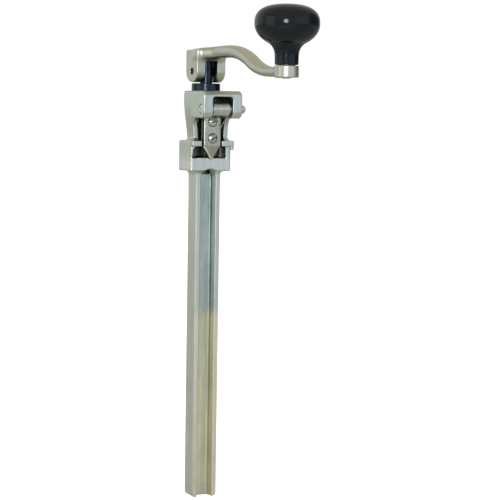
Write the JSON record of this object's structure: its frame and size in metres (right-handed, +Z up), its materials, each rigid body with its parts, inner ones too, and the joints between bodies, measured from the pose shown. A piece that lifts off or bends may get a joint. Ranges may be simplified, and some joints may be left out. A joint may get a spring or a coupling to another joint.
{
  "type": "manual can opener",
  "caption": "Bar-mounted commercial can opener: cast bar and head, geared arbor, hinged knife and folding crank with a knob.",
  "frame": {"origin": "centre of the bar's lower end face", "axes": "+Z up along the bar, -Y towards the knife side, +X to the right when facing the knife"},
  "size_m": [0.0734, 0.1897, 0.4855],
  "materials": {
    "nickel_casting": "satin nickel plate over a sand casting",
    "nickel_crank": "satin nickel plate, polished on the ears and the boss",
    "black_oxide": "oiled black oxide, half gloss",
    "gear_steel": "hardened steel, dark",
    "knife_steel": "plated flats with bright ground edges",
    "bright_steel": "bright zinc-plated hardware",
    "spring_wire": "drawn spring wire",
    "bronze": "oiled sintered bronze",
    "black_phenolic": "high gloss moulded"
  },
  "bodies": {
    "frame": {"body_casting": "nickel_casting", "upper_arbor_bushing": "bronze", "lower_arbor_bushing": "bronze", "holder_pin": "bright_steel", "holder_pin_nut": "bright_steel", "holder_washer": "bright_steel"},
    "arbor": {"arbor": "black_oxide", "thrust_collar": "black_oxide", "collar_pin": "black_oxide", "drive_gear": "gear_steel", "gear_washer": "bright_steel", "gear_screw": "bright_steel"},
    "holder": {"knife_holder": "nickel_casting", "knife": "knife_steel", "knife_screws": "bright_steel", "holder_spring": "spring_wire"},
    "crank": {"crank_arm": "nickel_crank", "clevis_pin": "black_oxide", "knob_stud": "bright_steel", "knob_washer": "bright_steel"},
    "knob": {"knob": "black_phenolic", "knob_sleeve": "bronze", "knob_retaining_ring": "bright_steel"}
  },
  "joints": [
    {"name": "arbor_spin", "type": "hinge", "parent": "frame", "child": "arbor", "pos_m": [0, -0.001, 0.38], "axis": [0, 0, 1], "continuous": true},
    {"name": "knife_swing", "type": "hinge", "parent": "frame", "child": "holder", "pos_m": [0, -0.0365, 0.388], "axis": [-1, 0, 0], "range_deg": [0, 25], "stiffness_Nm_per_rad": 0.05, "springref_deg": -34.38, "deforming": ["holder_spring"]},
    {"name": "crank_fold", "type": "hinge", "parent": "arbor", "child": "crank", "pos_m": [0, -0.001, 0.4248], "axis": [-0.9877, -0.1564, 0], "range_deg": [0, 90]},
    {"name": "knob_spin", "type": "hinge", "parent": "crank", "child": "knob", "pos_m": [0.02159, -0.1373, 0.4234], "axis": [0, 0, 1], "continuous": true}
  ]
}
